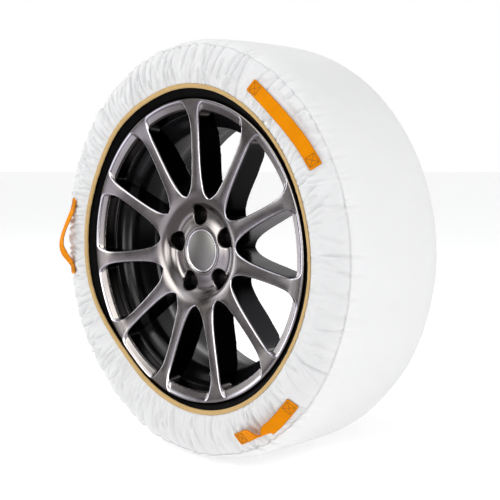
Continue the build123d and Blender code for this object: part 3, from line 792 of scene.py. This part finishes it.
# tread band: full width, smooth, with the seams' pull showing near its edges
full = np.concatenate([np.stack([BANDP[:, 0], -BANDP[:, 1]], -1), np.stack([BANDP[::-1, 0], BANDP[::-1, 1]], -1)[1:]])
NB = 72
tb = np.linspace(0, 1, NB)
tw = np.linspace(0, 1, NV)
edge_f = Df[:, -1][:, None] * np.exp(-(tb / 0.075) ** 1.3)[None]
edge_b = Db[:, -1][:, None] * np.exp(-((1 - tb) / 0.075) ** 1.3)[None]
A = np.radians(np.arange(NU) * 360.0 / NU)[:, None]
g = np.random.default_rng(5)
soft_band = np.zeros((NU, NB))
for k in range(10):
    soft_band += 0.16 * np.sin(A * int(g.integers(2, 15)) + g.uniform(0, 6.28) + g.uniform(-3, 3) * tb[None])
for k in range(70):                       # short creases running in from a seam
    a0, left = g.uniform(0, 360), g.random() < 0.6
    ln, w, dp = g.uniform(0.06, 0.20), g.uniform(0.25, 0.6), g.uniform(0.2, 0.7)
    s = tb if left else 1 - tb
    mid = a0 + g.normal(0, 5) * s
    da = (np.arange(NU)[:, None] * 360.0 / NU - mid[None] + 180) % 360 - 180
    soft_band -= dp * np.exp(-(da / w) ** 2) * (1 - sstep(0.2 * ln, ln, s))[None]
soft_band *= (sstep(0.0, 0.05, tb) * sstep(0.0, 0.05, 1 - tb))[None]
band, br_, bw_ = ring_sheet("tread_band_fabric", full[:, :], 1, "x", NU, NB, BAND_SIGN * (edge_f + edge_b + soft_band),
                            m_band, True, shift=False, thick=1.4, joined=SEAM_B)
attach(band, "sock")
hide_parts("sock_tread_band")


def ring_tube(name, rr, ww, side, sec, mat, flip=False, attrs=False, closed=True):
    """Sweeps a section (radial, outboard) offset round the wheel along radius rr, outboard ww."""
    nu = len(rr)
    A = np.radians(np.arange(nu) * 360.0 / nu)[:, None]
    sr, sw = sec[:, 0][None], sec[:, 1][None]
    r = rr[:, None] + sr
    w = ww[:, None] + sw
    v = np.stack([r * np.sin(A), OFFSET + side * w, r * np.cos(A)], -1).reshape(-1, 3)
    at = None
    if attrs:
        al = np.broadcast_to(np.radians(np.arange(nu) * 360.0 / nu)[:, None] * 0.25, (nu, len(sec)))
        ac = np.broadcast_to(np.linspace(-0.0085, 0.0085, len(sec))[None], (nu, len(sec)))
        at = {"along": al.ravel(), "across": ac.ravel()}
    return make(name, v, grid_faces(nu, len(sec), True, closed, flip), mat, attrs=at)


# binding: elastic tape folded over the edge, 7.5 mm wide and full
for side, nm, fl in ((-1, "front", False), (1, "back", True)):
    an = np.arange(NU) * 360.0 / NU
    rb = bind_r(an, nm)
    gg = np.random.default_rng(3 if side < 0 else 4)
    wav = sum(0.10 * np.sin(np.radians(an) * f + gg.uniform(0, 6.28)) for f in (37, 61, 83, 149))
    wb = 111.0 + wav + 0.02 * (rb - 250.9)
    # one tape folded round the panel's edge: face, rolled edge, back leg
    sec = smooth_curve([(3.4, 0.6), (2.9, 1.1), (1.4, 1.3), (1.0, 1.0), (0.6, 1.3), (-1.0, 1.5), (-2.1, 1.2),
                        (-2.7, 0.0), (-2.1, -1.2), (-1.0, -1.5), (0.8, -1.4), (3.0, -1.1)], 0.5)
    tl = math.radians(17)
    sec = np.stack([sec[:, 0] * math.cos(tl) - sec[:, 1] * math.sin(tl),
                    sec[:, 0] * math.sin(tl) + sec[:, 1] * math.cos(tl)], -1)
    bd = ring_tube(f"{nm}_binding_tape", rb, wb, side, sec, m_tan, flip=fl, attrs=True, closed=False)
    md = bd.modifiers.new("tape", "SOLIDIFY")
    md.thickness = 0.0007
    md.offset = -1.0
    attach(bd, "sock")
    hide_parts(f"{nm}_binding")
    ph = np.linspace(0, 2 * np.pi, 10, endpoint=False)
    cd = ring_tube(f"{nm}_elastic_core", rb - 0.9, wb - 0.2, side,
                   np.stack([0.55 * np.cos(ph), 0.55 * np.sin(ph)], -1), m_elastic, flip=(side < 0))
    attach(cd, "sock")
    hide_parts(f"{nm}_elastic_cord")

# seams: overlocked ridge, a round tube in thread material
for side, nm, DD in ((-1, "front", Df), (1, "back", Db)):
    an = np.arange(NU) * 360.0 / NU
    gg = np.random.default_rng(8 if side < 0 else 9)
    rs = 312.15 + DD[:, -1] * 0.75 + 0.25 * np.sin(np.radians(an) * 210)
    ws = 98.3 + DD[:, -1] * 0.66 + 0.2 * np.sin(np.radians(an) * 173 + 1)
    ph = np.linspace(0, 2 * np.pi, 10, endpoint=False)
    sec = np.stack([0.95 * np.cos(ph), 0.95 * np.sin(ph)], -1)
    sm = ring_tube(f"{nm}_seam_ridge", rs, ws, side, sec, m_thread, flip=(side < 0))
    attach(sm, "sock")
    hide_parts(f"{nm}_seam")

# =====================================================================
# pull straps
# =====================================================================
STRAP_W, STRAP_T = 20.0, 1.5


def ribbon(name, C, W, mat, width=STRAP_W, thick=STRAP_T):
    """Flat strap: centre points C, width directions W (unit), both in mm."""
    n = len(C)
    T = np.gradient(C, axis=0)
    T /= np.linalg.norm(T, axis=1, keepdims=True)
    W = W - (W * T).sum(1, keepdims=True) * T
    W /= np.linalg.norm(W, axis=1, keepdims=True)
    N = np.cross(T, W)
    s = np.concatenate([[0], np.cumsum(np.linalg.norm(np.diff(C, axis=0), axis=1))])
    hw, ht = width / 2, thick / 2
    # ends narrowed to rounded corners where the real ends fold under, edges a little uneven
    nar = 1 - 0.17 * (1 - np.clip(s / 2.2, 0, 1)) ** 2 - 0.17 * (1 - np.clip((s[-1] - s) / 2.2, 0, 1)) ** 2
    nar = nar + 0.012 * np.sin(s * 0.33 + width) + 0.010 * np.sin(s * 0.71 + 1.3)
    sec = [(-hw, 0), (-hw + 0.25, ht * 0.75)] + [(x, ht) for x in np.linspace(-hw + 0.8, hw - 0.8, 7)] \
        + [(hw - 0.25, ht * 0.75), (hw, 0), (hw - 0.25, -ht * 0.75)] \
        + [(x, -ht) for x in np.linspace(hw - 0.8, -hw + 0.8, 7)] + [(-hw + 0.25, -ht * 0.75)]
    sec = np.array(sec)
    m = len(sec)
    v = C[:, None] + sec[None, :, 0:1] * W[:, None] * nar[:, None, None] + sec[None, :, 1:2] * N[:, None]
    f = grid_faces(n, m, False, True)
    al = np.broadcast_to(s[:, None] / 1000, (n, m)).ravel()
    ac = np.broadcast_to(sec[:, 0][None] / 1000, (n, m)).ravel()
    V = v.reshape(-1, 3)
    # end caps
    c0, c1 = len(V), len(V) + 1
    V = np.concatenate([V, C[:1], C[-1:]])
    al, ac = np.concatenate([al, [s[0] / 1000, s[-1] / 1000]]), np.concatenate([ac, [0, 0]])
    k = np.arange(m)
    k2 = (k + 1) % m
    cap0 = np.stack([np.full(m, c0), k2, k, np.full(m, c0)], -1)
    cap1 = np.stack([np.full(m, c1), (n - 1) * m + k, (n - 1) * m + k2, np.full(m, c1)], -1)
    me = bpy.data.meshes.new(name)
    faces = [tuple(q) for q in f] + [tuple(q[:3]) for q in cap0] + [tuple(q[:3]) for q in cap1]
    me.from_pydata((V / 1000).tolist(), [], [[int(i) for i in q] for q in faces])
    me.polygons.foreach_set("use_smooth", np.ones(len(me.polygons), bool))
    for key, val in (("along", al), ("across", ac)):
        at = me.attributes.new(key, "FLOAT", "POINT")
        at.data.foreach_set("value", np.asarray(val, np.float32))
    me.materials.append(mat)
    ob = bpy.data.objects.new(name, me)
    bpy.context.scene.collection.objects.link(ob)
    return ob, T, W, N, s


def panel_point(a, r):
    """Point on the front panel and its outward normal."""
    w = np.interp(r, PANEL[:, 0], PANEL[:, 1])
    dw = (np.interp(r + 1, PANEL[:, 0], PANEL[:, 1]) - np.interp(r - 1, PANEL[:, 0], PANEL[:, 1])) / 2
    n = er(a) * (-dw) + np.array([0, -1.0, 0])
    return er(a) * r + np.array([0, OFFSET - w, 0]), n / np.linalg.norm(n)


def surface_strap(spec, n=110):
    """spec rows: (t, angle, radius, height, twist in degrees); t from 0 to 1 along the strap."""
    spec = np.asarray(spec, float)
    tt = np.linspace(0, 1, n)
    dense = smooth_curve(spec, 0.02)
    o = np.argsort(dense[:, 0])
    dense = dense[o]
    cols = [np.interp(tt, dense[:, 0], dense[:, k]) for k in range(1, 5)]
    C, W = [], []
    for a, r, h, tw in zip(*cols):
        p, nr = panel_point(a, min(r, 311.0))
        if r > 311.0:
            p = p + er(a) * (r - 311.0)
        C.append(p + nr * h)
        across = np.cross(et(a), nr)
        across /= np.linalg.norm(across)
        if across @ er(a) < 0:
            across = -across
        c_, s_ = math.cos(math.radians(tw)), math.sin(math.radians(tw))
        W.append(across * c_ + nr * s_)
    C, W = np.array(C), np.array(W)
    for _ in range(2):
        C[1:-1] = 0.25 * C[:-2] + 0.5 * C[1:-1] + 0.25 * C[2:]
        W[1:-1] = 0.25 * W[:-2] + 0.5 * W[1:-1] + 0.25 * W[2:]
    return C, W


straps = {}
# strap 1: lies along the panel, a touch proud in the middle
straps["strap_1"] = surface_strap([
    (0.00, 30.3, 285.8, 1.5, 0), (0.10, 33.8, 284.7, 1.6, 0), (0.16, 35.8, 284.1, 2.0, 0),
    (0.36, 42.6, 284.3, 3.6, -2), (0.58, 50.1, 287.0, 4.4, 3), (0.75, 55.6, 289.9, 3.4, -2),
    (0.87, 59.5, 291.7, 2.0, 2), (0.91, 60.8, 292.4, 1.7, 0), (1.00, 63.5, 294.2, 1.5, 0)])
# strap 2: stands out as a grip
straps["strap_2"] = surface_strap([
    (0.00, 285.0, 286.0, 1.9, 0), (0.08, 282.9, 286.2, 2.0, 0), (0.14, 281.3, 286.5, 2.8, 0),
    (0.26, 278.0, 287.5, 7.5, 0), (0.38, 274.6, 289.5, 13.0, 0), (0.50, 271.4, 291.5, 17.0, 4),
    (0.60, 268.6, 292.5, 18.0, 12), (0.70, 266.2, 290.5, 14.5, 20), (0.80, 264.0, 288.6, 8.0, 14),
    (0.87, 262.4, 288.0, 4.0, 6), (0.92, 261.2, 288.2, 2.2, 0), (1.00, 259.0, 288.5, 1.9, 0)])
# strap 3: slack, droops and folds over near its lower end
straps["strap_3"] = surface_strap([
    (0.00, 131.5, 297.1, 1.6, 0), (0.09, 134.0, 297.6, 1.8, 0), (0.15, 135.4, 297.7, 3.0, 0),
    (0.27, 138.2, 298.0, 7.0, 0), (0.38, 140.6, 298.2, 10.5, -3), (0.47, 142.2, 297.8, 12.6, -4),
    (0.53, 143.8, 299.6, 13.3, -54), (0.59, 145.5, 298.6, 13.0, -60), (0.66, 147.5, 295.4, 11.5, -36),
    (0.74, 149.7, 291.9, 8.5, -10), (0.84, 152.5, 292.6, 3.8, 0), (0.90, 154.1, 293.2, 2.1, 0),
    (1.00, 156.8, 293.8, 1.6, 0)])

stitch_v, stitch_f = [], []


def stitch(p, d, n, ln=2.15, wd=1.0, ht=0.5):
    """One raised thread stitch: a low elongated pill."""
    d = d / np.linalg.norm(d)
    w = np.cross(n, d)
    base = sum(len(q) for q in stitch_v)
    ring = []
    for sx, k in ((-1.0, 0.35), (-0.6, 0.9), (0.0, 1.0), (0.6, 0.9), (1.0, 0.35)):
        for ca, sa in ((1, -0.2), (0.75, 0.6), (0, 1.0), (-0.75, 0.6), (-1, -0.2)):
            ring.append(p + d * sx * ln / 2 + w * ca * wd / 2 * k + n * sa * ht * k)
    stitch_v.append(np.array(ring))
    fs = []
    for i in range(4):
        for j in range(4):
            q = base + i * 5 + j
            fs.append((q, q + 1, q + 6, q + 5))
        fs.append((base + i * 5 + 4, base + i * 5, base + i * 5 + 5, base + i * 5 + 9))
    fs.append((base + 0, base + 4, base + 3, base + 1))
    fs.append((base + 20, base + 21, base + 23, base + 24))
    stitch_f.extend(fs)


for nm, (C, W) in straps.items():
    ob, T, Wd, N, s = ribbon(f"{nm}_webbing", C, W, m_orange)
    a_mid = {"strap_1": 46.2, "strap_2": 271.2, "strap_3": 144.7}[nm]
    # webbing's outer face looks away from the panel
    sgn = np.sign((N * np.array([panel_point(a_mid, 290)[1]])).sum(1).mean())
    h = (C[:, 1])
    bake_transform(ob)
    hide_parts(f"{nm}_loop", f"{nm}_sewn_ends")
    # box and cross at both ends
    L = s[-1]
    for c0 in (11.0, L - 11.0):
        def at(u, v):
            uu = c0 + u
            p = np.array([np.interp(uu, s, C[:, k]) for k in range(3)])
            w_ = np.array([np.interp(uu, s, Wd[:, k]) for k in range(3)])
            n__ = np.array([np.interp(uu, s, N[:, k]) for k in range(3)]) * sgn
            t_ = np.array([np.interp(uu, s, T[:, k]) for k in range(3)])
            return p + w_ * v + n__ * (STRAP_T / 2), t_, w_, n__
        q = 7.2
        lines = [((-q, -q), (q, -q)), ((q, -q), (q, q)), ((q, q), (-q, q)), ((-q, q), (-q, -q)),
                 ((-q, -q), (q, q)), ((-q, q), (q, -q))]
        for (u0, v0), (u1, v1) in lines:
            ln = math.hypot(u1 - u0, v1 - v0)
            k = max(2, int(round(ln / 2.55)))
            for i in range(k):
                f_ = (i + 0.5) / k
                p, t_, w_, n__ = at(u0 + (u1 - u0) * f_, v0 + (v1 - v0) * f_)
                stitch(p, t_ * (u1 - u0) + w_ * (v1 - v0), n__)
st = make("box_cross_stitching", np.concatenate(stitch_v), stitch_f, m_othread)
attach(st, "sock")
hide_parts("strap_stitching")

# =====================================================================
# floor, light and camera
# =====================================================================
m_floor, nt, b = new_mat("studio_floor")
b.inputs["Base Color"].default_value = (0.86, 0.86, 0.86, 1)
b.inputs["Emission Color"].default_value = (1, 1, 1, 1)
b.inputs["Emission Strength"].default_value = 0.40
b.inputs["Roughness"].default_value = 0.9
b.inputs["Specular IOR Level"].default_value = 0.1
fz = -0.3262
me = bpy.data.meshes.new("floor")
R = 40.0
me.from_pydata([(R * math.cos(t), R * math.sin(t), fz) for t in np.linspace(0, 2 * math.pi, 64, endpoint=False)],
               [], [list(range(64))])
me.materials.append(m_floor)
floor = bpy.data.objects.new("floor", me)
bpy.context.scene.collection.objects.link(floor)

world = bpy.data.worlds.new("studio") if bpy.context.scene.world is None else bpy.context.scene.world
bpy.context.scene.world = world
world.use_nodes = True
wt = world.node_tree
wt.nodes.clear()
out = wt.nodes.new("ShaderNodeOutputWorld")
bgw = wt.nodes.new("ShaderNodeBackground")
bgw.inputs[0].default_value = (1, 1, 1, 1)
bgw.inputs[1].default_value = 1.0
lp = wt.nodes.new("ShaderNodeLightPath")
tc = wt.nodes.new("ShaderNodeTexCoord")
direction = tc.outputs["Generated"]
sepw = wt.nodes.new("ShaderNodeSeparateXYZ")
wt.links.new(direction, sepw.inputs[0])


def scaled(col, fac):
    n = wt.nodes.new("ShaderNodeVectorMath")
    n.operation = "SCALE"
    n.inputs[0].default_value = col
    wt.links.new(fac, n.inputs["Scale"])
    return n.outputs[0]


def added(a, b_):
    n = wt.nodes.new("ShaderNodeVectorMath")
    n.operation = "ADD"
    for k_, x_ in enumerate((a, b_)):
        if isinstance(x_, tuple):
            n.inputs[k_].default_value = x_
        else:
            wt.links.new(x_, n.inputs[k_])
    return n.outputs[0]


def soft_step(x_, lo_, hi_):
    n = wt.nodes.new("ShaderNodeMapRange")
    n.interpolation_type = "SMOOTHSTEP"
    n.inputs["From Min"].default_value = lo_
    n.inputs["From Max"].default_value = hi_
    wt.links.new(x_, n.inputs["Value"])
    return n.outputs["Result"]


def softbox(d, inner, outer, strength, col=(1.0, 1.0, 1.0)):
    n = wt.nodes.new("ShaderNodeVectorMath")
    n.operation = "DOT_PRODUCT"
    wt.links.new(direction, n.inputs[0])
    n.inputs[1].default_value = tuple(Vector(d).normalized())
    f = soft_step(n.outputs["Value"], math.cos(math.radians(outer)), math.cos(math.radians(inner)))
    return scaled(tuple(c_ * strength for c_ in col), f)


# what glossy surfaces mirror: a dim studio with soft boxes and a pale floor
neg_z = wt.nodes.new("ShaderNodeMath")
neg_z.operation = "MULTIPLY"
neg_z.inputs[1].default_value = -1.0
wt.links.new(sepw.outputs[2], neg_z.inputs[0])
refl = added((0.050, 0.046, 0.044), scaled((0.60, 0.58, 0.60), soft_step(neg_z.outputs[0], 0.10, 0.40)))
refl = added(refl, scaled((1.5, 1.5, 1.55), soft_step(sepw.outputs[2], 0.45, 0.85)))
for sb in (((-0.27, -0.93, 0.22), 7, 22, 8.5, (1.0, 0.99, 0.95)),
           ((-0.45, -0.70, 0.55), 8, 24, 2.6, (0.95, 0.96, 1.0)),
           ((0.38, -0.92, 0.02), 6, 20, 8.0, (1.0, 1.0, 1.0)),
           ((-0.98, -0.10, 0.05), 6, 22, 6.0, (0.95, 0.95, 1.0)),
           ((-0.86, -0.50, 0.05), 3, 12, 2.2, (1.0, 1.0, 1.0)),
           ((-0.43, -0.87, -0.30), 6, 26, 2.6, (0.88, 0.87, 1.0)),
           ((0.90, 0.10, 0.50), 8, 26, 1.2, (1.0, 1.0, 1.0)),
           ((-0.20, 0.95, 0.30), 10, 30, 2.5, (1.0, 1.0, 1.0))):
    refl = added(refl, softbox(*sb))
gl = wt.nodes.new("ShaderNodeBackground")
wt.links.new(refl, gl.inputs[0])
gl.inputs[1].default_value = 1.0
# what lights cloth: brighter overhead than at the horizon
bgd = wt.nodes.new("ShaderNodeBackground")
wt.links.new(added((0.22, 0.223, 0.232), scaled((0.50, 0.50, 0.49), soft_step(sepw.outputs[2], -0.05, 0.95))),
             bgd.inputs[0])
bgd.inputs[1].default_value = 1.0
mx1 = wt.nodes.new("ShaderNodeMixShader")
mx2 = wt.nodes.new("ShaderNodeMixShader")
wt.links.new(lp.outputs["Is Glossy Ray"], mx1.inputs[0])
wt.links.new(bgd.outputs[0], mx1.inputs[1])
wt.links.new(gl.outputs[0], mx1.inputs[2])
wt.links.new(lp.outputs["Is Camera Ray"], mx2.inputs[0])
wt.links.new(mx1.outputs[0], mx2.inputs[1])
wt.links.new(bgw.outputs[0], mx2.inputs[2])
wt.links.new(mx2.outputs[0], out.inputs[0])
floor.visible_glossy = False


def area(name, loc, target, size, power, color=(1, 1, 1), spread=None):
    l = bpy.data.lights.new(name, "AREA")
    l.shape = "RECTANGLE"
    l.size, l.size_y = size
    l.energy = power
    l.color = color
    o = bpy.data.objects.new(name, l)
    o.location = loc
    d = Vector(target) - Vector(loc)
    o.rotation_euler = d.to_track_quat("-Z", "Y").to_euler()
    bpy.context.scene.collection.objects.link(o)
    return o


for o in (area("key_top_left", (-2.4, -1.7, 2.3), (0, 0, 0), (0.8, 0.8), 56),
          area("side_right", (2.5, -0.5, 1.9), (0, 0, 0), (1.5, 1.5), 35),
          area("front_fill", (-1.0, -3.0, 0.9), (0, 0, 0), (1.0, 1.0), 3)):
    o.visible_glossy = False

cam_d = bpy.data.cameras.new("camera")
cam = bpy.data.objects.new("camera", cam_d)
bpy.context.scene.collection.objects.link(cam)
az, el, dist = math.radians(44.99), math.radians(4.94), 1.630
back = Vector((math.sin(az) * math.cos(el), -math.cos(az) * math.cos(el), math.sin(el)))
cam.location = Vector((0, 0.040, 0)) + back * dist
cam.rotation_mode = "QUATERNION"
cam.rotation_quaternion = (-back).to_track_quat("-Z", "Y")
cam_d.sensor_width = 36.0
cam_d.lens = 1009.36 * 36.0 / 500.0
cam_d.shift_x = 13.51 / 500.0
cam_d.shift_y = -2.36 / 500.0
cam_d.clip_start, cam_d.clip_end = 0.05, 100
cam_d.dof.use_dof = False
bpy.context.scene.camera = cam
bpy.context.scene.view_settings.view_transform = "Standard"
